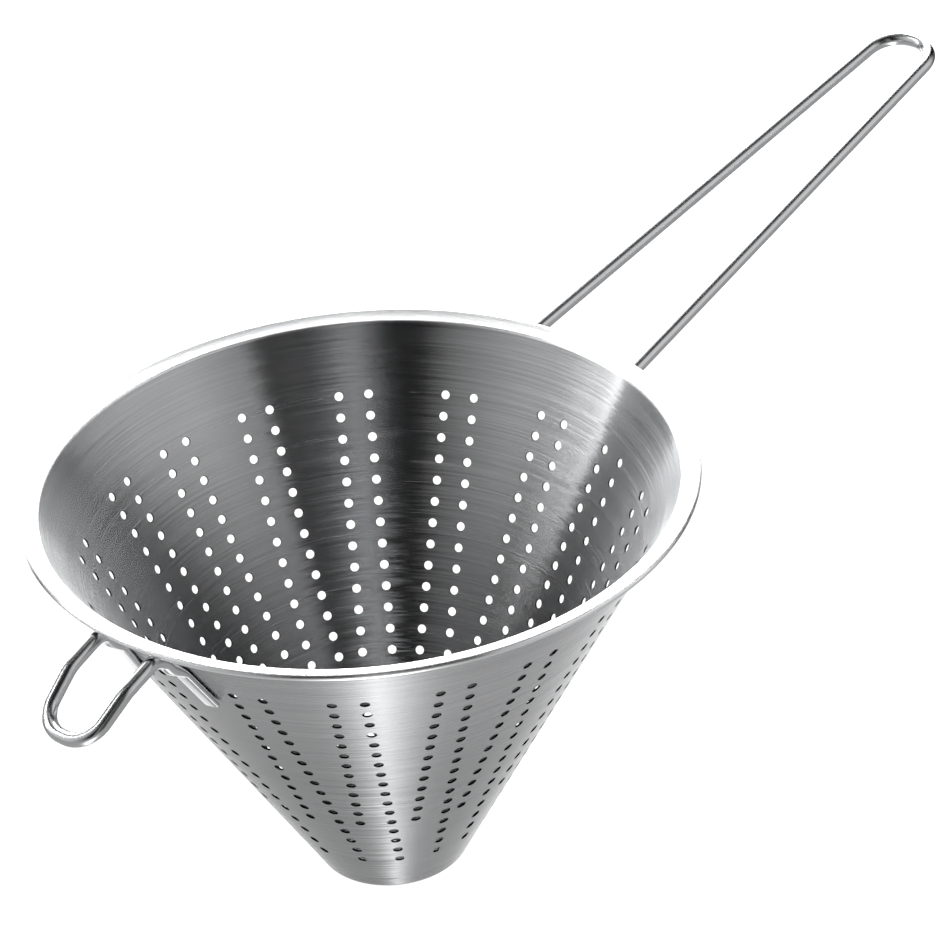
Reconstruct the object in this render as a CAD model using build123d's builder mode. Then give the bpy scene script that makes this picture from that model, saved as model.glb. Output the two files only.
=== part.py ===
from build123d import *
import math
import os

os.makedirs("parts", exist_ok=True)

# A conical kitchen strainer, stood on the flat end of its cone.
# The origin is the middle of that flat end, +Z goes up through the open mouth,
# the handle points along +X and the rest hook along -X.

# Bowl: one stainless sheet drawn to a cone with a flat end and a turned-out rim
rim_diameter = 220.0
rim_width = 6.3
rim_rise = 1.1
bead_diameter = 2.4
sheet = 0.6
depth = 143.0
base_diameter = 48.4
base_rounding = 4.0
# More than five hundred round holes in a round wall would take too many facets,
# so the bowl is turned in flats, holes, bead and wires have a few sides each, and a
# wire's bends are runs of short straight lengths, one to each bend_step of degrees
bead_sides = 8
hole_sides = 4
wire_sides = 8
bend_step = 20.0

# Holes: pairs of straight lines down the wall, with one line of each pair longer
hole_diameter = 3.0
hole_pitch = 7.3
line_spacing = 10.2
first_hole = 24.2
long_line = 17
short_line = 13
punch_depth = 3.0
base_ring_diameter = 24.0
base_ring_holes = 6
# Where each pair stands round the bowl, in degrees from the handle. They are
# set out by eye, so they are a degree or two off an even pitch.
pair_angles = (0, 23, 46, 67.5, 88, 106.5, 130.5, 154.5, 177,
               200.5, 220.5, 241.5, 260, 280.5, 300, 320, 340)

# Both wires: round bar, pressed flat where it lies on the cone and is spot welded
wire_diameter = 4.8
flat_width = 6.2
flat_thickness = 2.2
flat_length = 18.0
tip_chamfer = 0.5
shoulder = 7.0
neck_straight = 1.0
wall_bend = 6.0
weld_gap = 0.2
weld_diameter = 3.0
weld_margin = 4.0

# Handle: a long loop that narrows to its far end and rises away from the rim
handle_length = 183.0
handle_leg_spacing = 45.0
handle_end_width = 23.0
handle_end_bend = 11.6
handle_slope = 12.6
handle_rim_gap = 0.3
handle_splay = 0.0

# Rest hook: a short loop that drops outside the rim and seats on a pot's edge. It
# is set by eye too, a little off the line opposite the handle, and its welded ends
# spread.
hook_place = 181.5
hook_length = 29.0
hook_leg_spacing = 24.0
hook_end_width = 20.4
hook_end_bend = 10.0
hook_slope = -20.0
hook_knee_length = 10.0
hook_knee_bend = 14.0
hook_end_slope = -34.5
hook_rim_gap = 0.6
hook_splay = 10.0

# Worked out from the sizes above
mouth_radius = rim_diameter / 2 - rim_width
bead_radius = bead_diameter / 2
wire_radius = wire_diameter / 2
wire_proud = weld_gap + wire_radius
flat_proud = weld_gap + flat_thickness / 2
bead_place = (rim_diameter / 2 - bead_radius, depth + rim_rise)
wall_angle = math.atan2(mouth_radius - base_diameter / 2, depth)
sin_wall, cos_wall, tan_wall = math.sin(wall_angle), math.cos(wall_angle), math.tan(wall_angle)


def on_wall(angle, slant, aside=0, proud=0):
    """A plane on the outside of the wall: x runs round it, y up it and z out of it.

    angle is in degrees from the handle, slant is measured down the wall from the
    mouth, aside is across it, and proud is how far the plane stands off it."""
    to_apex = mouth_radius / sin_wall - slant
    from_apex = math.hypot(to_apex, aside)
    turn = math.radians(angle) + math.atan2(aside, to_apex) / sin_wall
    radius = from_apex * sin_wall
    height = depth - mouth_radius / tan_wall + from_apex * cos_wall
    foot = Vector(radius * math.cos(turn), radius * math.sin(turn), height)
    out = Vector(cos_wall * math.cos(turn), cos_wall * math.sin(turn), -sin_wall)
    around = Vector(-math.sin(turn), math.cos(turn), 0)
    return Plane(origin=foot + out * proud, x_dir=around, z_dir=out)


def along_end(angle, corner, splay, reach, proud):
    """A plane square to a wire's welded end, facing its tip, for its sections.

    corner is the slant at which the wire comes to the wall, splay is how many
    degrees its end leans away from the line straight down the wall, and reach is
    how far along that end the plane stands."""
    lean = math.radians(splay)
    slant = corner + reach * math.cos(lean)
    aside = reach * math.sin(lean)
    wall = on_wall(angle, slant, aside, proud)
    heading = lean + math.atan2(aside, mouth_radius / sin_wall - slant)
    return Plane(
        origin=wall.origin,
        x_dir=wall.x_dir * math.cos(heading) + wall.y_dir * math.sin(heading),
        z_dir=wall.x_dir * math.sin(heading) - wall.y_dir * math.cos(heading),
    )


def turned_in_flats(section, edges):
    """Turn a straight-sided section round the axis in flats, as one solid.

    edges holds the angles, in degrees, at which one flat meets the next."""
    corners = [edge.position_at(0) for edge in section.outer_wire().order_edges()]
    faces = []
    for edge, next_edge in zip(edges, edges[1:] + edges[:1]):
        turns = [math.radians(edge), math.radians(next_edge)]
        for first, second in zip(corners, corners[1:] + corners[:1]):
            places = [(first, turns[0]), (second, turns[0]), (second, turns[1]), (first, turns[1])]
            points = []
            for corner, turn in places:
                point = Vector(corner.X * math.cos(turn), corner.X * math.sin(turn), corner.Z)
                if point not in points:
                    points.append(point)
            if len(points) > 2:
                faces.append(Face(Wire.make_polygon(points, close=True)))
    return Solid(Shell(faces))


def leaving_wall(slope, gap):
    """Where a wire that passes under the bead at a slope and a gap meets the wall.

    It returns that corner's radius, height and slant, and how far along the
    welded end the wire's bend reaches."""
    rise = math.tan(math.radians(slope))
    bead_bottom = bead_place[1] - bead_radius
    under_bead = bead_bottom - gap - wire_radius / math.cos(math.radians(slope))
    proud_radius = mouth_radius + wire_proud / cos_wall
    drop = depth - under_bead + rise * bead_place[0]
    radius = (proud_radius - tan_wall * drop) / (1 - tan_wall * rise)
    height = under_bead + (radius - bead_place[0]) * rise
    corner = (depth - height - wire_proud * sin_wall) / cos_wall
    turn = math.pi / 2 - wall_angle - math.radians(slope)
    return radius, height, corner, wall_bend * math.tan(turn / 2) + neck_straight


def wire_section():
    """The wire's section, with a side square to each axis of its plane."""
    return RegularPolygon(wire_radius, wire_sides, major_radius=False, rotation=180 / wire_sides)


def pressed_end(angle, corner, splay, neck):
    """The end of a wire, from its round neck to the flat tip that is welded on."""
    with BuildPart() as end:
        with BuildSketch(along_end(angle, corner, splay, neck, wire_proud)):
            wire_section()
        flat_start = along_end(angle, corner, splay, neck + shoulder, flat_proud)
        with BuildSketch(flat_start) as pressed:
            wire_section()
            scale(by=(flat_width / wire_diameter, flat_thickness / wire_diameter, 1))
        loft(ruled=True)
        extrude(pressed.sketch, amount=flat_length)
        chamfer(end.faces().sort_by(Axis((0, 0, 0), flat_start.z_dir))[-1].edges(), tip_chamfer)
    return end.part


def bent_wire(place, leg_spacing, leaving, splay, further, bends):
    """A wire loop that stands out from the bowl at an angle from the handle.

    leaving is what leaving_wall gives, and further lists the points of the left
    leg beyond the rim: out from the axis, across and up. The right leg mirrors it."""
    radius, height, corner, neck = leaving
    half_turn = math.degrees(math.asin(leg_spacing / 2 / radius))
    out = Vector(math.cos(math.radians(place)), math.sin(math.radians(place)), 0)
    across = Vector(-out.Y, out.X, 0)
    legs = []
    for hand in (1, -1):
        angle = place + hand * half_turn
        neck_plane = along_end(angle, corner, hand * splay, neck, wire_proud)
        leg = [neck_plane.origin, on_wall(angle, corner, 0, wire_proud).origin]
        for reach, aside, up in further:
            leg.append(out * reach + across * hand * aside + Vector(0, 0, up))
        legs.append(leg)
    with BuildLine() as curve:
        FilletPolyline(*legs[0], *reversed(legs[1]), radius=bends + bends[::-1])
    corners = [legs[0][0]]
    for edge in curve.wires()[0].order_edges():
        straight = edge.geom_type == GeomType.LINE
        turn = 0 if straight else math.degrees(edge.length / edge.radius)
        steps = math.ceil(turn / bend_step) + straight
        corners += [edge.position_at(step / steps) for step in range(1, steps + 1)]
    with BuildPart() as wire:
        with BuildLine() as path:
            Polyline(*corners)
        with BuildSketch(along_end(place + half_turn, corner, splay, neck, wire_proud)):
            wire_section()
        sweep(path=path.line, transition=Transition.RIGHT)
        add(pressed_end(place + half_turn, corner, splay, neck))
        add(pressed_end(place - half_turn, corner, -splay, neck))
    return wire.part


def spot_weld(angle, corner, splay, neck, along):
    """One weld nugget, from the flat of a wire's end to the wall behind it."""
    flat_start = along_end(angle, corner, splay, neck + shoulder, flat_proud)
    out = flat_start.z_dir.cross(flat_start.x_dir)
    under_flat = flat_start.origin + flat_start.z_dir * along - out * (flat_thickness / 2)
    with BuildPart() as nugget:
        with BuildSketch(Plane(origin=under_flat, x_dir=flat_start.x_dir, z_dir=out)):
            RegularPolygon(weld_diameter / 2, bead_sides)
        extrude(amount=-(weld_gap + sheet))
        add(bowl.part, mode=Mode.SUBTRACT)
    return nugget.part.solids().sort_by(Axis((0, 0, 0), out))[-1]


# Bowl: its section is the outer line of the sheet, moved in by the thickness,
# with the bead of the rolled rim at its edge
edge_trim = base_rounding * math.tan((math.pi / 2 - wall_angle) / 2)
with BuildSketch(Plane.XZ) as bowl_section:
    with BuildLine():
        outer_line = Polyline(
            (0, 0),
            (base_diameter / 2 - edge_trim, 0),
            (base_diameter / 2 + edge_trim * sin_wall, edge_trim * cos_wall),
            (mouth_radius, depth),
            bead_place,
        )
        offset(outer_line, amount=sheet, side=Side.LEFT, kind=Kind.INTERSECTION)
    make_face()
    with Locations(bead_place):
        RegularPolygon(bead_radius, bead_sides, rotation=180 / bead_sides)

with BuildPart() as punch:
    with BuildSketch(Plane.XY.offset(-punch_depth / 2)):
        RegularPolygon(hole_diameter / 2, hole_sides, major_radius=False)
    extrude(amount=punch_depth)

hole_places = []
for pair_angle in pair_angles:
    for side, holes in ((1, long_line), (-1, short_line)):
        for row in range(holes):
            slant = first_hole + row * hole_pitch
            hole_places.append(on_wall(pair_angle, slant, side * line_spacing / 2))

# The flats meet between the two lines of a pair and midway to the next pair
flat_edges = []
for pair_angle, next_angle in zip(pair_angles, pair_angles[1:] + (360,)):
    flat_edges += [pair_angle, (pair_angle + next_angle) / 2]

with BuildPart() as bowl:
    add(turned_in_flats(bowl_section.sketch.face(), flat_edges))
    with Locations(*hole_places):
        add(punch.part, mode=Mode.SUBTRACT)
    add(punch.part, mode=Mode.SUBTRACT)
    with PolarLocations(base_ring_diameter / 2, base_ring_holes):
        add(punch.part, mode=Mode.SUBTRACT)
bowl.part.label = "strainer_bowl"
export_step(bowl.part, "parts/strainer_bowl.step")

# Handle wire: up the wall, out under the bead, round the far end and back again
handle_leaving = leaving_wall(handle_slope, handle_rim_gap)
handle_end = rim_diameter / 2 + handle_length - wire_radius
handle_rise = (handle_end - handle_leaving[0]) * math.tan(math.radians(handle_slope))
handle_far = (handle_end, handle_end_width / 2, handle_leaving[1] + handle_rise)
handle = bent_wire(0, handle_leg_spacing, handle_leaving, handle_splay,
                   [handle_far], (wall_bend, handle_end_bend))
handle.label = "handle_wire"
export_step(handle, "parts/handle_wire.step")

# Rest hook: the same wire, opposite the handle, with a knee that turns it down
hook_leaving = leaving_wall(hook_slope, hook_rim_gap)
knee = rim_diameter / 2 + hook_knee_length
knee_height = hook_leaving[1] + (knee - hook_leaving[0]) * math.tan(math.radians(hook_slope))
hook_end = rim_diameter / 2 + hook_length - wire_radius
hook_drop = (hook_end - knee) * math.tan(math.radians(hook_end_slope))
hook_points = [(knee, hook_leg_spacing / 2, knee_height),
               (hook_end, hook_end_width / 2, knee_height + hook_drop)]
hook = bent_wire(hook_place, hook_leg_spacing, hook_leaving, hook_splay,
                 hook_points, (wall_bend, hook_knee_bend, hook_end_bend))
hook.label = "rest_hook"
export_step(hook, "parts/rest_hook.step")

# Spot welds: two nuggets hold each pressed end to the cone
for wire, place, spacing, leaving, splay in (
    ("handle", 0, handle_leg_spacing, handle_leaving, handle_splay),
    ("hook", hook_place, hook_leg_spacing, hook_leaving, hook_splay),
):
    radius, height, corner, neck = leaving
    half_turn = math.degrees(math.asin(spacing / 2 / radius))
    for hand, side in (("left", 1), ("right", -1)):
        for end, along in (("upper", weld_margin), ("lower", flat_length - weld_margin)):
            weld = spot_weld(place + side * half_turn, corner, side * splay, neck, along)
            weld.label = f"{wire}_weld_{hand}_{end}"
            export_step(weld, f"parts/{weld.label}.step")
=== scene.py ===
import bmesh
import bpy
import math
from mathutils import Matrix, Vector
from mathutils.geometry import delaunay_2d_cdt


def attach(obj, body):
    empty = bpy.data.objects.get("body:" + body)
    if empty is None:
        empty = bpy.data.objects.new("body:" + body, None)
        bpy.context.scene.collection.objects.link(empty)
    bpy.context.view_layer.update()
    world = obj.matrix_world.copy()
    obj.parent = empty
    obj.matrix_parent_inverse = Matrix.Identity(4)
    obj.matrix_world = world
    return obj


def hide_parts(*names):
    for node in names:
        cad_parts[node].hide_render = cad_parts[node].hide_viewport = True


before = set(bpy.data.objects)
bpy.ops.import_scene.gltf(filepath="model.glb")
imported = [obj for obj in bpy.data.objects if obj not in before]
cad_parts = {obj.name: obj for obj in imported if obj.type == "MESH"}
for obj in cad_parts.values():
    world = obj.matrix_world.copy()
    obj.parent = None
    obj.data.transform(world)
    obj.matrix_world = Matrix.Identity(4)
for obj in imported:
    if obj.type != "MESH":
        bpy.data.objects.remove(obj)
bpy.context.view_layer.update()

# The bowl: one stainless sheet drawn to a cone with a small flat end, punched with
# seventeen pairs of lines of holes, and turned out at the mouth to a flange whose
# edge is rolled to a bead. It is brushed in the lathe, so the lines run round it.

# sizes here and below are in metres, and angles in degrees
rim_radius = 0.1098
mouth_radius = 0.1037
depth = 0.143
rim_rise = 0.0011
bead_radius = 0.0012
sheet = 0.0006
base_radius = 0.0242
base_rounding = 0.004
fold_rounding = 0.0010
hole_radius = 0.0015
hole_edge = 0.00014
hole_pitch = 0.0073
line_spacing = 0.0102
first_hole = 0.0242
long_line = 17
short_line = 13
base_ring_radius = 0.012
base_ring_holes = 6
pair_angles = (0, 23, 46, 67.5, 88, 106.5, 130.5, 154.5, 177,
               200.5, 220.5, 241.5, 260, 280.5, 300, 320, 340)
bowl_colour = (0.52, 0.525, 0.533)

wall_angle = math.atan2(mouth_radius - base_radius, depth)
sin_wall, cos_wall = math.sin(wall_angle), math.cos(wall_angle)
half_corner = math.tan((math.pi / 2 - wall_angle) / 2)  # of half the angle from wall to level
apex_slant = mouth_radius / sin_wall

# how finely it is meshed: round a hole, in degrees round the axis, in metres on the wall,
# how near the holes, and in steps round the base, the fold, the bead and the inner edge
hole_corners = 24
station_step = 1.0
mesh_step = 0.004
clear_of_hole = 0.0008
base_steps = 10
fold_steps = 8
bead_steps = 28
inner_edge_steps = 10


def evenly(start, end, steps):
    """The numbers that divide the way from start to end into equal steps."""
    return [start + (end - start) * i / steps for i in range(steps + 1)]


def wall_point(angle, slant, aside, proud):
    """A place off the outside of the wall, and the wall's outward way there.

    The slant runs down the wall from the mouth, aside is square to it on the wall
    unrolled flat, and proud is off the wall."""
    to_apex = apex_slant - slant
    from_apex = math.hypot(to_apex, aside)
    turn = math.radians(angle) + math.atan2(aside, to_apex) / sin_wall
    outward = Vector((cos_wall * math.cos(turn), cos_wall * math.sin(turn), -sin_wall))
    foot = Vector((from_apex * sin_wall * math.cos(turn), from_apex * sin_wall * math.sin(turn),
                   depth - (apex_slant - from_apex) * cos_wall))
    return foot + outward * proud, outward


class Mesh:
    """A mesh of faces that share corners, each corner with the way in which it is shaded."""

    same_place = 1e7  # corners whose places agree when rounded at this many steps a metre are one

    def __init__(self):
        self.corners, self.faces, self.shading, self.places = [], [], [], {}

    def corner(self, place, way):
        key = tuple(round(v * self.same_place) for v in place)
        if key not in self.places:
            self.places[key] = len(self.corners)
            self.corners.append(tuple(place))
            self.shading.append(tuple(way))
        return self.places[key]

    def face(self, corners):
        """A face through (place, way) pairs, without the corners that fall together."""
        ring = [self.corner(place, way) for place, way in corners]
        ring = [corner for corner, before in zip(ring, ring[-1:] + ring) if corner != before]
        if len(ring) > 2:
            self.faces.append(ring)

    def hole_wall(self, upper, lower):
        """The faces between two rings of a hole."""
        for i in range(hole_corners):
            j = (i + 1) % hole_corners
            self.face((upper[i], upper[j], lower[j], lower[i]))

    def object(self, name, material):
        mesh = bpy.data.meshes.new(name)
        mesh.from_pydata(self.corners, [], self.faces)
        mesh.shade_smooth()
        mesh.normals_split_custom_set_from_vertices(self.shading)
        mesh.materials.append(material)
        made = bpy.data.objects.new(name, mesh)
        bpy.context.scene.collection.objects.link(made)
        return made


bowl_mesh = Mesh()
hole_turns = evenly(0, 2 * math.pi, hole_corners)[:-1]
keep_to_outline = 1  # the kind of triangulation
one_point = 1e-9  # points nearer to each other than this are one
in_hole = 0.9915  # of a hole's radius: a face whose middle is nearer to the hole's is cut out


def hole_ring(centre, radius):
    """The corners round a hole in a flat sheet."""
    return [centre + Vector((math.cos(a), math.sin(a))) * radius for a in hole_turns]


def ring_edges(first, count):
    """The edges of a closed ring of points, numbered from the first on."""
    return [(first + i, first + (i + 1) % count) for i in range(count)]


def punched(outline, centres, radius, further=()):
    """The faces of a flat outline without its holes; further points even out the mesh."""
    points, edges = list(outline), ring_edges(0, len(outline))
    for centre in centres:
        edges += ring_edges(len(points), hole_corners)
        points += hole_ring(centre, radius)
    points += further
    corners, _, faces, *_ = delaunay_2d_cdt(points, edges, [], keep_to_outline, one_point)
    kept = []
    for face in faces:
        ring = [corners[i] for i in face]
        middle = sum(ring, Vector((0, 0))) / len(ring)
        if all((middle - centre).length >= radius * in_hole for centre in centres):
            kept.append(ring)
    return kept


# each pair of lines has a sector of the wall, which ends half way to the next pair
sector_edges = [(a + b) / 2 for a, b in zip(pair_angles, pair_angles[1:] + (360,))]
sector_edges = [sector_edges[-1] - 360] + sector_edges
stations = []
for start, end in zip(sector_edges, sector_edges[1:]):
    stations += evenly(start, end, round((end - start) / station_step))[:-1]

# the plain wall, between the slants where it meets the fold and the rounding at the base
wall_top = 0.0022
base_reach = base_rounding * half_corner
wall_bottom = apex_slant - (base_radius + base_reach * sin_wall) / sin_wall
slants = evenly(wall_top, wall_bottom, round((wall_bottom - wall_top) / mesh_step))


def wall_sector(pair_angle, start, end):
    """One pair of lines and the wall round it: outside, inside and the holes' edges."""

    def flat(angle, slant):
        """A place on the wall unrolled flat, with the pair's middle line along y."""
        turn = math.radians(angle - pair_angle) * sin_wall
        to_apex = apex_slant - slant
        return Vector((to_apex * math.sin(turn), apex_slant - to_apex * math.cos(turn)))

    def rolled(place, proud):
        """The unrolled place put back on the cone, and the outward way there."""
        return wall_point(pair_angle, place.y, place.x, proud)

    angles = evenly(start, end, round((end - start) / station_step))
    outline = [flat(a, wall_top) for a in angles]
    outline += [flat(end, s) for s in slants[1:-1]]
    outline += [flat(a, wall_bottom) for a in reversed(angles)]
    outline += [flat(start, s) for s in reversed(slants[1:-1])]
    centres = [Vector((side * line_spacing / 2, first_hole + row * hole_pitch))
               for side, holes in ((1, long_line), (-1, short_line)) for row in range(holes)]
    edge_radius = hole_radius + hole_edge
    field = []
    for slant in slants[1:-1]:
        reach = (apex_slant - slant) * math.radians(end - start) * sin_wall
        for angle in evenly(start, end, max(2, round(reach / mesh_step)))[1:-1]:
            place = flat(angle, slant)
            if all((place - c).length > edge_radius + clear_of_hole for c in centres):
                field.append(place)

    for face in punched(outline, centres, edge_radius, field):
        bowl_mesh.face([rolled(corner, 0) for corner in reversed(face)])
        bowl_mesh.face([(place, -outward) for place, outward in
                        (rolled(corner, -sheet) for corner in face)])
    # the punched edges: a little rounding, then straight through the sheet
    levels = ((0, edge_radius, 1), (-hole_edge, hole_radius, 0),
              (-sheet + hole_edge, hole_radius, 0), (-sheet, edge_radius, -1))
    for centre in centres:
        rings = []
        for proud, radius, facing in levels:
            hub = rolled(centre, proud)[0]
            ring = []
            for corner in hole_ring(centre, radius):
                place, outward = rolled(corner, proud)
                ring.append((place, outward * facing if facing else (hub - place).normalized()))
            rings.append(ring)
        for upper, lower in zip(rings, rings[1:]):
            bowl_mesh.hole_wall(upper, lower)


for pair_angle, start, end in zip(pair_angles, sector_edges, sector_edges[1:]):
    wall_sector(pair_angle, start, end)


def arc(centre, radius, start, end, steps):
    """Places and outward ways along an arc in the bowl's section, as (radius, height)."""
    ways = [(math.cos(math.radians(a)), math.sin(math.radians(a)))
            for a in evenly(start, end, steps)]
    return [((centre[0] + radius * w[0], centre[1] + radius * w[1]), w) for w in ways]


def opposite(way):
    """The way turned back."""
    return -way[0], -way[1]


def turned(section, flip=False):
    """Turn a line of (place, way) in the section round the axis, as faces of the bowl."""
    for angles in zip(stations, stations[1:] + [stations[0] + 360]):
        start, end = (math.radians(a) for a in angles)
        for near, far in zip(section, section[1:]):
            corners = [[Vector((r * math.cos(t), r * math.sin(t), z)) for r, z in pair]
                       for pair, t in ((near, start), (near, end), (far, end), (far, start))]
            bowl_mesh.face(corners[::-1] if flip else corners)


# the rounding below the wall, outside and inside
base_centre = (base_radius - base_reach, base_rounding)
base_arc = (-math.degrees(wall_angle), -90, base_steps)
turned(arc(base_centre, base_rounding, *base_arc), flip=True)
turned([(p, opposite(w)) for p, w in arc(base_centre, base_rounding - sheet, *base_arc)])

# the flat end with its holes, both its sides and then the holes' edges
outline = [Vector((base_centre[0] * math.cos(math.radians(a)),
                   base_centre[0] * math.sin(math.radians(a)))) for a in stations]
centres = [Vector((0, 0))]
centres += [Vector((math.cos(a), math.sin(a))) * base_ring_radius
            for a in evenly(0, 2 * math.pi, base_ring_holes)[:-1]]
flat_end = punched(outline, centres, hole_radius)
for height, up in ((0.0, -1), (sheet, 1)):
    for face in flat_end:
        bowl_mesh.face([(Vector((*corner, height)), (0, 0, up)) for corner in face[::up]])
for centre in centres:
    upper, lower = ([(Vector((*corner, height)), Vector((*(centre - corner), 0)).normalized())
                     for corner in hole_ring(centre, hole_radius)] for height in (sheet, 0.0))
    bowl_mesh.hole_wall(upper, lower)

# the rim: the fold under the flange, its underside, the bead, its top and the inner edge
bead_centre = (rim_radius - bead_radius, depth + rim_rise)
bead_start, bead_end = -158, 118
under_inward, under_down = 0.92, 0.39  # of the bead's radius, to where the underside meets it
flange_tilt = math.atan2(rim_rise, bead_centre[0] - mouth_radius)
flange_under = (bead_centre[0] - bead_radius * under_inward,
                bead_centre[1] - bead_radius * under_down)


def wall_section(slant, proud):
    """A place in the section of the wall."""
    return (mouth_radius - slant * sin_wall + proud * cos_wall,
            depth - slant * cos_wall - proud * sin_wall)


def fillet(a, b, c, radius, steps):
    """Places that round the corner at b of a line from a to c, and the ways there from the
    middle of the rounding."""
    u = Vector((a[0] - b[0], a[1] - b[1])).normalized()
    v = Vector((c[0] - b[0], c[1] - b[1])).normalized()
    half = math.acos(max(-1, min(1, u.dot(v)))) / 2
    reach = radius / math.tan(half)
    centre = Vector(b) + (u + v).normalized() * (radius / math.sin(half))
    first, last = ((Vector(b) + way * reach - centre).normalized() for way in (u, v))
    ways = [first.slerp(last, t) for t in evenly(0, 1, steps)]
    return [(tuple(centre + way * radius), way) for way in ways]


outer_foot, inner_foot = wall_section(wall_top, 0), wall_section(wall_top, -sheet)
inner_corner = (mouth_radius - sheet * half_corner, depth + sheet)
out_way = (cos_wall, -sin_wall)
down_way = (math.sin(flange_tilt), -math.cos(flange_tilt))
fold = fillet(outer_foot, (mouth_radius, depth), flange_under, fold_rounding, fold_steps)
bead = arc(bead_centre, bead_radius, bead_start, bead_end, bead_steps)
turned([(outer_foot, out_way)] + [(p, opposite(w)) for p, w in fold] + [(bead[0][0], down_way)])
turned(bead)
inner_edge = fillet(bead[-1][0], inner_corner, inner_foot, fold_rounding + sheet,
                    inner_edge_steps)
turned([(bead[-1][0], opposite(down_way))] + inner_edge + [(inner_foot, opposite(out_way))])


class Value:
    """An output of a shader node, so that sums on it are written as sums."""

    def __init__(self, nodes, socket):
        self.nodes, self.socket = nodes, socket

    def outputs(self):
        """All the outputs of this one's node."""
        return [Value(self.nodes, socket) for socket in self.socket.node.outputs]

    def math(self, operation, *others):
        return self.nodes.node("Math", {"operation": operation}, self, *others)

    def past(self, start, steepness):
        """0 up to start, then rising to 1."""
        return ((self - start) * steepness).math("MAXIMUM", 0).math("MINIMUM", 1)

    def __add__(self, other):
        return self.math("ADD", other)

    def __sub__(self, other):
        return self.math("SUBTRACT", other)

    def __rsub__(self, other):
        return self.nodes.node("Math", {"operation": "SUBTRACT"}, other, self)

    def __mul__(self, other):
        return self.math("MULTIPLY", other)

    def __truediv__(self, other):
        return self.math("DIVIDE", other)

    __radd__, __rmul__ = __add__, __mul__


class Nodes:
    """A node tree, with one method that makes its nodes."""

    def __init__(self, tree):
        self.tree = tree

    def node(self, kind, settings, *values, out=0, **named):
        """A node with its settings, then its sockets' values or links, in order or by name."""
        made = self.tree.nodes.new("ShaderNode" + kind)
        for key, value in settings.items():
            if key == "stops":
                self.set_stops(made.color_ramp.elements, value)
            else:
                setattr(made, key, value)
        for socket, value in [*enumerate(values), *named.items()]:
            self.feed(made, socket, value)
        return Value(self, made.outputs[out])

    def set_stops(self, elements, stops):
        """The stops of a colour ramp, from a list of places and greys."""
        while len(elements) < len(stops):
            elements.new(1.0)
        for element, (place, grey) in zip(elements, stops):
            element.position, element.color = place, (grey, grey, grey, 1)

    def feed(self, made, socket, value):
        """Set or link a socket; an underscore in its name stands for a space."""
        target = made.inputs[socket.replace("_", " ") if isinstance(socket, str) else socket]
        if isinstance(value, Value):
            self.tree.links.new(value.socket, target)
        else:
            target.default_value = value


class Finish(Nodes):
    """A material and its shader."""

    def __init__(self, name):
        self.material = bpy.data.materials.new(name)
        self.material.use_nodes = True
        super().__init__(self.material.node_tree)

    def set(self, **inputs):
        for socket, value in inputs.items():
            self.feed(self.tree.nodes["Principled BSDF"], socket, value)


# the brushed finish: fine lines and wider bands round the axis, and a waver that tips
# the surface to the side, more so towards the bottom, where painted shade also darkens it.
# A thin line under the rolled edge's bead is darkened as painted shade, and the flange's colour is
# raised as a painted sheen.
line_contrast, line_lean, line_roughness = 0.6, 0.18, 0.06
band_roughness = 0.04
waver_lean = 0.08
steel_roughness = 0.21
# the colour darkens towards the bottom as painted shade
deep_from, deep_growth, deep_painted_shade = 0.02, 15.0, 0.2
mouth_share, deep_share = 0.5, 0.7  # of the lean: from the mouth on, and added further down
# the thin dark line under the bead is painted shade: where it starts below the bead, from what
# radius, and how far it darkens
bead_shade_drop, bead_shade_radius, bead_painted_shade = 0.0005, 0.1068, 0.85
# the flange's colour is raised as a painted sheen, for its bright reflection
flange_painted_sheen = 0.9
sharp, less_sharp = 4000.0, 2000.0  # the steepness of a mask's edge, per metre

brushed = Finish("brushed_steel")
x, y, z = brushed.node("SeparateXYZ", {}, brushed.node("TexCoord", {}, out="Object")).outputs()
from_axis = (x * x + y * y).math("SQRT")
up_wall = from_axis * sin_wall + z * cos_wall
mouth_up_wall = mouth_radius * sin_wall + depth * cos_wall


def lathe_noise(round_axis, down_wall, **settings):
    """Noise that is stretched round the axis, by its scale in the two directions."""
    place = brushed.node("CombineXYZ", {}, x * round_axis, y * round_axis, up_wall * down_wall)
    return brushed.node("TexNoise", {}, Vector=place, Scale=1.0, **settings)


lines = lathe_noise(16, 1800, Detail=3.0, Roughness=0.6)
bands = lathe_noise(5, 240, Detail=2.0)
waver = lathe_noise(30, 900, Detail=2.0)
# deep rises towards the bottom; it tips the lean further and darkens the colour as painted shade
deep = (mouth_up_wall - up_wall).past(deep_from, deep_growth)
lean = ((waver - 0.5) * waver_lean + (lines - 0.5) * line_lean) * (
    deep * deep_share + mouth_share)
tip = lean / from_axis
around = brushed.node("CombineXYZ", {}, y * -1 * tip, x * tip)
surface = brushed.node("VectorMath", {"operation": "ADD"},
                       brushed.node("NewGeometry", {}, out="Normal"), around)
brushing = brushed.node("Bump", {}, Strength=0.08, Distance=0.0001, Height=lines, Normal=surface)
# a thin line under the bead, darkened in the colour as painted shade
bead_shade = (bead_centre[1] - z).past(bead_shade_drop, sharp) * from_axis.past(bead_shade_radius, less_sharp)
# the flange, brightened in the colour as a painted sheen
flange = z.past(depth, sharp)
shade = ((1 - deep * deep_painted_shade) * (1 - bead_shade * bead_painted_shade) * (flange * flange_painted_sheen + 1)
         * (lines * line_contrast + (1 - line_contrast / 2)))
steel = brushed.node("CombineColor", {}, *(shade * part for part in bowl_colour))
brushed.set(Base_Color=steel, Metallic=1.0,
            Roughness=steel_roughness + lines * line_roughness + bands * band_roughness,
            Anisotropic=1.0, Anisotropic_Rotation=0.25, Normal=brushing)

bowl = bowl_mesh.object("bowl", brushed.material)
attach(bowl, "root")
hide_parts("strainer_bowl")

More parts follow.
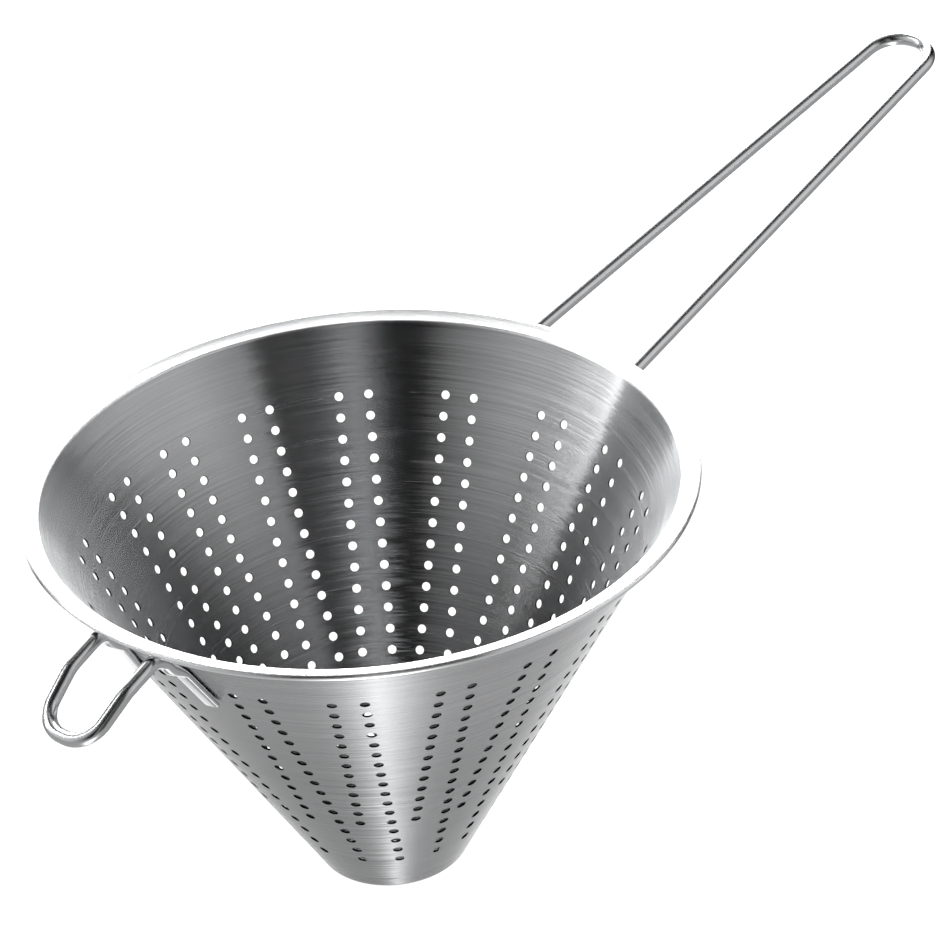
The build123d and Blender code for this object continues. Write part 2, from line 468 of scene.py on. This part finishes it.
# The handle: one stainless wire, nearly 5 mm thick, bent to a long loop. Its ends run
# under the rim, turn down the wall and are pressed flat where they are spot welded to it.
wire_radius = 0.0024
flat_width = 0.0062
flat_thickness = 0.0022
flat_length = 0.018
round_power, flat_power = 2.0, 3.6  # of the outline: 2 is round, and more is squarer
shoulder = 0.007
neck_straight = 0.001
wall_bend = 0.006
weld_gap = 0.0002
tip_rounding = 0.0006
cad_rim_radius = 0.110  # of the solids' rim, from which both wires are set out
handle_length = 0.183
handle_leg_spacing = 0.045
handle_end_width = 0.0230
handle_end_bend = 0.0116
handle_slope = 12.6
handle_rim_gap = 0.0003
handle_splay = 0.0
wire_colour = (0.64, 0.645, 0.655)
wire_roughness = 0.16
streak_roughness, streaks_along, streaks_round = 0.1, 60, 9

wire_width = 2 * wire_radius
wire_proud = weld_gap + wire_radius
flat_proud = weld_gap + flat_thickness / 2

# how finely the wires are meshed: round the wire, degrees of a bend, shoulder and tip
wire_corners = 24
bend_step = 6
shoulder_steps = 12
tip_steps = 6


def leaving_wall(slope, gap):
    """Radius, height and slant of the corner where a wire's line under the rim meets its
    line down the wall, and the length from there to where it starts to flatten."""
    rise = math.tan(math.radians(slope))
    bead_x = cad_rim_radius - bead_radius
    under_bead = depth + rim_rise - bead_radius - gap - wire_radius / math.cos(math.radians(slope))
    proud_radius = mouth_radius + wire_proud / cos_wall
    drop = depth - under_bead + rise * bead_x
    tan_wall = sin_wall / cos_wall
    radius = (proud_radius - tan_wall * drop) / (1 - tan_wall * rise)
    height = under_bead + (radius - bead_x) * rise
    corner = (depth - height - wire_proud * sin_wall) / cos_wall
    turn = math.pi / 2 - wall_angle - math.radians(slope)
    return radius, height, corner, wall_bend * math.tan(turn / 2) + neck_straight


def welded_end(angle, corner, splay, reach, proud):
    """A place along a wire's welded end, the way down that end and the wall's outward way."""
    slant = corner + reach * math.cos(math.radians(splay))
    aside = reach * math.sin(math.radians(splay))
    place, outward = wall_point(angle, slant, aside, proud)
    level = Vector((-outward.y, outward.x, 0)).normalized()
    heading = math.radians(splay) + math.atan2(aside, apex_slant - slant)
    down = level * math.sin(heading) - outward.cross(level) * math.cos(heading)
    return place, down, outward


def bent(points, radii):
    """A path through points with each inner corner rounded, as closely spaced places."""
    path = [points[0]]
    for a, b, c, radius in zip(points, points[1:], points[2:], radii):
        u, v = (a - b).normalized(), (c - b).normalized()
        half = math.acos(u.dot(v)) / 2
        centre = b + (u + v).normalized() * radius / math.sin(half)
        first, last = (b + way * radius / math.tan(half) - centre for way in (u, v))
        turn = first.angle(last)
        for t in evenly(0, 1, max(2, round(turn / math.radians(bend_step)))):
            path.append(centre + (first * math.sin((1 - t) * turn) + last * math.sin(t * turn))
                        / math.sin(turn))
    return path + [points[-1]]


def half_loop(leaving, spacing, splay, further, bends):
    """The outlines across half a wire loop, from its middle to its pressed tip.

    Each has its middle, the wire's way, the way across and its width, thickness and power."""
    radius, _, corner, neck = leaving
    angle = math.degrees(math.asin(spacing / 2 / radius))
    corner_place = wall_point(angle, corner, 0, wire_proud)[0]
    neck_place = welded_end(angle, corner, splay, neck, wire_proud)[0]
    flat_place, down, outward = welded_end(angle, corner, splay, neck + shoulder, flat_proud)
    middle = Vector((further[-1][0], 0, further[-1][2]))
    path = bent([middle] + [Vector(p) for p in reversed(further)] + [corner_place, neck_place],
                bends)
    rings = [(p, wire_width, wire_width, round_power) for p in path]
    for t in evenly(0, 1, shoulder_steps)[1:]:
        ease = t * t * (3 - 2 * t)
        proud = outward * (ease - t) * (flat_proud - wire_proud)
        rings.append((neck_place.lerp(flat_place, t) + proud,
                      wire_width + (flat_width - wire_width) * ease,
                      wire_width + (flat_thickness - wire_width) * ease,
                      round_power + (flat_power - round_power) * ease))
    flat_from = len(rings) - 1
    end = flat_place + down * flat_length
    for a in evenly(0, math.pi / 2, tip_steps):
        shrink = tip_rounding * (1 - math.cos(a))
        rings.append((end - down * tip_rounding * (1 - math.sin(a)),
                      flat_width - 2 * shrink, flat_thickness - 2 * shrink, flat_power))

    outlines, across = [], Vector((0, 0, 1))
    for k, (place, *section) in enumerate(rings):
        if k == 0:
            ahead = Vector((0, 1, 0))
        elif k < flat_from:
            ahead = (rings[k + 1][0] - rings[k - 1][0]).normalized()
        else:
            ahead = down
        across = (across - ahead * across.dot(ahead)).normalized()
        outlines.append([place, ahead, across, *section])
    # each is turned a little more than the one before, so that the last lies square on the wall
    aside = outward.cross(down).normalized()
    twist = math.atan2(down.cross(across).dot(aside), across.dot(aside))
    for k, outline in enumerate(outlines):
        turn = twist * min(1, k / (len(path) - 1))
        ahead, across = outline[1:3]
        outline[2] = across * math.cos(turn) + ahead.cross(across) * math.sin(turn)
    return outlines


def wire_loop(name, node, place_angle, *half):
    """A whole wire loop: its half, swept, mirrored and turned to its place round the bowl."""
    outlines = half_loop(*half)
    places, travels = [], [0.0]
    for near, far in zip(outlines, outlines[1:]):
        travels.append(travels[-1] + (far[0] - near[0]).length)
    for place, ahead, across, width, thickness, power in outlines:
        high = ahead.cross(across)
        for i in range(wire_corners):
            t = 2 * math.pi * (i + 0.5) / wire_corners
            c, s = (math.copysign(abs(v) ** (2 / power), v) for v in (math.cos(t), math.sin(t)))
            places.append(place + across * (c * width / 2) + high * (s * thickness / 2))
    # the surface is marked with the length along the wire and the part of the way round it
    faces, marks = [], []
    for k, (near, far) in enumerate(zip(travels, travels[1:])):
        for i in range(wire_corners):
            first, j = k * wire_corners, (i + 1) % wire_corners
            faces.append([first + corner for corner in (i, j, wire_corners + j, wire_corners + i)])
            start, end = i / wire_corners, (i + 1) / wire_corners
            marks += [(near, start), (near, end), (far, end), (far, start)]
    faces.append(range(len(places) - wire_corners, len(places)))
    marks += [(travels[-1], i / wire_corners) for i in range(wire_corners)]
    mirrored = [Vector((p.x, -p.y, p.z)) for p in places]
    other = [[len(places) + i for i in face] for face in faces]
    turn = Matrix.Rotation(math.radians(place_angle), 3, "Z")
    mesh = bpy.data.meshes.new(name)
    mesh.from_pydata([turn @ p for p in places + mirrored], [], faces + other)
    layer = mesh.uv_layers.new(name="along_wire")
    for spot, mark in zip(layer.data, marks + marks):
        spot.uv = mark
    # the halves are joined where they meet, and only the pressed tips keep a sharp edge
    joined = bmesh.new()
    joined.from_mesh(mesh)
    bmesh.ops.remove_doubles(joined, verts=joined.verts, dist=1e-6)
    bmesh.ops.recalc_face_normals(joined, faces=joined.faces)
    joined.to_mesh(mesh)
    joined.free()
    mesh.shade_smooth()
    mesh.set_sharp_from_angle(angle=math.radians(50))
    mesh.materials.append(polished.material)
    made = bpy.data.objects.new(name, mesh)
    bpy.context.scene.collection.objects.link(made)
    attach(made, "root")
    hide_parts(node)


# the polished finish, with the faint streaks along it of a drawn wire
polished = Finish("polished_wire")
length, part_round, _ = polished.node(
    "SeparateXYZ", {}, polished.node("TexCoord", {}, out="UV")).outputs()
turn = part_round * (2 * math.pi)
drawn = polished.node("CombineXYZ", {}, length * streaks_along,
                      turn.math("COSINE") * streaks_round, turn.math("SINE") * streaks_round)
streaks = polished.node("TexNoise", {}, Vector=drawn, Scale=1.0, Detail=3.0)
drawing = polished.node("Bump", {}, Strength=0.12, Distance=0.0001, Height=streaks)
polished.set(Base_Color=(*wire_colour, 1), Metallic=1.0,
             Roughness=wire_roughness + streaks * streak_roughness, Normal=drawing)

handle_leaving = leaving_wall(handle_slope, handle_rim_gap)
handle_end = cad_rim_radius + handle_length - wire_radius
handle_rise = (handle_end - handle_leaving[0]) * math.tan(math.radians(handle_slope))
wire_loop("handle_loop", "handle_wire", 0, handle_leaving, handle_leg_spacing, handle_splay,
          [(handle_end, handle_end_width / 2, handle_leaving[1] + handle_rise)],
          (handle_end_bend, wall_bend))

# The rest hook: the same wire, bent to a short loop that drops outside the rim and
# hangs the strainer on the edge of a pot. It is welded on as the handle is, by eye.
hook_place = 181.5
hook_length = 0.029
hook_leg_spacing = 0.0240
hook_end_width = 0.0204
hook_end_bend = 0.010
hook_slope = -20.0
hook_knee_length = 0.010
hook_knee_bend = 0.014
hook_end_slope = -34.5
hook_rim_gap = 0.0006
hook_splay = 10.0

hook_leaving = leaving_wall(hook_slope, hook_rim_gap)
knee = cad_rim_radius + hook_knee_length
knee_height = hook_leaving[1] + (knee - hook_leaving[0]) * math.tan(math.radians(hook_slope))
hook_end = cad_rim_radius + hook_length - wire_radius
hook_drop = (hook_end - knee) * math.tan(math.radians(hook_end_slope))
wire_loop("hook_loop", "rest_hook", hook_place, hook_leaving, hook_leg_spacing, hook_splay,
          [(knee, hook_leg_spacing / 2, knee_height),
           (hook_end, hook_end_width / 2, knee_height + hook_drop)],
          (hook_end_bend, hook_knee_bend, wall_bend))

# The spot welds: steel melted between each pressed end and the wall. They keep
# their CAD solids, in the bowl's brushed steel.
for name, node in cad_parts.items():
    if "_weld_" in name:
        node.data.materials.clear()
        node.data.materials.append(brushed.material)

# The floor: plain and white. The steel doesn't mirror it but the room's own lower
# half, which is darker in places, as the photograph's reflections are.
floor_reach = 4
floor_finish = Finish("floor")
floor_finish.set(Base_Color=(0, 0, 0, 1), Emission_Color=(1, 1, 1, 1), Emission_Strength=1.0)
floor_mesh = bpy.data.meshes.new("floor")
floor_mesh.from_pydata([(x * floor_reach, y * floor_reach, 0)
                        for x, y in ((-1, -1), (1, -1), (1, 1), (-1, 1))], [], [(0, 1, 2, 3)])
floor_mesh.materials.append(floor_finish.material)
floor = bpy.data.objects.new("floor", floor_mesh)
bpy.context.scene.collection.objects.link(floor)
floor.visible_glossy = False

# The studio: what the steel mirrors is soft lamps and dark gaps between them, all round
# it and at several heights. Everything else is lit by an even white room.
white_room = 1.6
ceiling_darkening = 0.85
streak_low, streak_high = 0.6, 1.6  # the streak lamp's strength near the floor and higher up
world = bpy.data.worlds.new("studio")
bpy.context.scene.world = world
world.use_nodes = True
world.cycles.sampling_method = "NONE"  # a ray aimed at the room wouldn't count as mirrored
room = Nodes(world.node_tree)
x, y, height = room.node("SeparateXYZ", {}, room.node("TexCoord", {}, out="Generated")).outputs()
picture_right = 45  # degrees before +X, where the photograph's right lies
round_room = (y.math("ARCTAN2", x) * (0.5 / math.pi) + (0.5 + picture_right / 360)).math("FRACT")
brightest = 4.0  # a ramp holds parts of it


def panels(*stops):
    """The light from all round the room, from (degrees, light) stops; 0 is the photograph's
    right, 90 straight ahead of the camera and 180 its left."""
    places = sorted(((degrees / 360 + 0.5) % 1, light / brightest) for degrees, light in stops)
    places = [(0.0, places[0][1])] + places + [(1.0, places[0][1])]
    return room.node("ValToRGB", {"stops": places}, round_room) * brightest


def round_height(middle, steepness):
    """1 for directions of that height, falling to 0 above and below."""
    return 1 - (height - middle).math("ABSOLUTE").past(0, steepness)


# the walls of the room, which the inside of the bowl mirrors
walls = panels(
    (-180, 0.74), (-167, 0.76), (-160, 0.76), (-145, 0.53), (-130, 0.31), (-122, 0.12),
    (-118, 0.0), (-103, 0.0), (-98, 0.08), (-93, 0.31), (-88, 0.31), (-82, 0.12), (-74, 0.04),
    (-66, 0.08), (-56, 0.0), (-51, 0.45), (-27, 0.84), (0, 0.84), (13, 0.7), (25, 0.36),
    (33, 0.0), (57, 0.0), (62, 0.4), (66, 7.0), (72, 5.0), (106, 5.0), (112, 1.8), (128, 1.8),
    (132, 0.0))
# a narrow lamp, which draws the bright streak down the inside
streak_lamp = panels(
    (-180, 0), (150, 0), (158, 0.3), (163.5, 0.35), (164.5, 11.0), (165.5, 11.0),
    (166.5, 0.35), (179, 0.8), (180, 0))
# lamps at the height of the rim, just above the floor and high up, all far behind
rim_lamp = panels((-180, 0), (104, 0), (110, 6.0), (128, 6.0), (131, 0))
floor_lamp = panels(
    (-180, 0), (54, 0), (59, 0.5), (64, 4.0), (72, 4.0), (84, 0), (98, 0), (106, 3.0),
    (112, 4.0), (133, 4.0), (137, 3.0), (140, 0))
high_lamp = panels(
    (-180, 0.2), (-165, 0), (62, 0), (70, 3.6), (112, 3.6), (120, 0.35), (180, 0.2))
# the floor, near by, which the outside of the bowl mirrors, and further off
near_floor = panels(
    (-180, 0.48), (-122, 0.48), (-112, 1.1), (-100, 2.4), (-92, 3.1), (-84, 2.8), (-72, 1.9),
    (-62, 0.7), (-55, 0.46), (18, 0.46), (30, 0.3), (45, 0.3), (54, 0.5), (60, 1.9), (80, 1.9),
    (86, 0.48), (94, 0.48), (100, 1.3), (120, 1.3), (128, 0.46))
far_floor = panels(
    (-180, 0.46), (18, 0.46), (28, 0.12), (55, 0.12), (61, 0.46), (127, 0.46), (134, 0.12),
    (150, 0.12), (160, 0.46), (180, 0.46))

# where each shows, by the height of the direction: -1 is straight down and 1 straight up
above_floor = height.past(-1 / 12, 6.0)
overhead = height.past(0.7, 8.0)
near = (height * -1).past(0.35, 4.0)
streak_strength = height.past(0.28, 5.0) * (streak_high - streak_low) + streak_low
mirrored = (walls + streak_lamp * streak_strength) * above_floor * (
    1 - overhead * ceiling_darkening)
mirrored = mirrored + (near_floor * near + far_floor * (1 - near)) * (1 - above_floor)
mirrored = (mirrored + rim_lamp * round_height(0.06, 4.5) + floor_lamp * round_height(-0.22, 5.0)
            + high_lamp * height.past(0.4, 6.0) * (1 - overhead))
in_mirror = room.node("LightPath", {}, out="Is Glossy Ray")
background = world.node_tree.nodes["Background"]
room.feed(background, "Color", (1, 1, 1, 1))
room.feed(background, "Strength", mirrored * in_mirror + (1 - in_mirror) * white_room)
bpy.context.scene.view_settings.view_transform = "Standard"

# The camera: above the rim and before the bowl, with the handle to the right behind, as
# the photograph was taken. Its angles are in radians; the rim's radius scales its shift.
camera_turn = math.radians(-45)
camera_rise = 0.55895
camera_roll = -0.0826
camera_distance = 1.430
camera_shift = (-0.32223 * cad_rim_radius, -0.04651 * cad_rim_radius)
focal_pixels = 4463.4
photo_pixels = 940
sensor_width = 36


def turned_flat(x, y, z):
    """A direction in the photograph's own frame, turned to the part's."""
    c, s = math.cos(camera_turn), math.sin(camera_turn)
    return Vector((c * x - s * y, s * x + c * y, z))


roll_cos, roll_sin = math.cos(camera_roll), math.sin(camera_roll)
rise_cos, rise_sin = math.cos(camera_rise), math.sin(camera_rise)
forward = turned_flat(0, rise_cos, -rise_sin)
right = turned_flat(roll_cos, roll_sin * rise_sin, roll_sin * rise_cos)
above = turned_flat(-roll_sin, roll_cos * rise_sin, roll_cos * rise_cos)
camera_place = Vector((0, 0, depth)) - forward * camera_distance
camera_place -= right * camera_shift[0] + above * camera_shift[1]
camera_data = bpy.data.cameras.new("camera")
camera_data.sensor_width = sensor_width
camera_data.lens = focal_pixels / photo_pixels * sensor_width
camera = bpy.data.objects.new("camera", camera_data)
camera.matrix_world = Matrix((
    (right.x, above.x, -forward.x, camera_place.x),
    (right.y, above.y, -forward.y, camera_place.y),
    (right.z, above.z, -forward.z, camera_place.z),
    (0, 0, 0, 1),
))
bpy.context.scene.collection.objects.link(camera)
bpy.context.scene.camera = camera
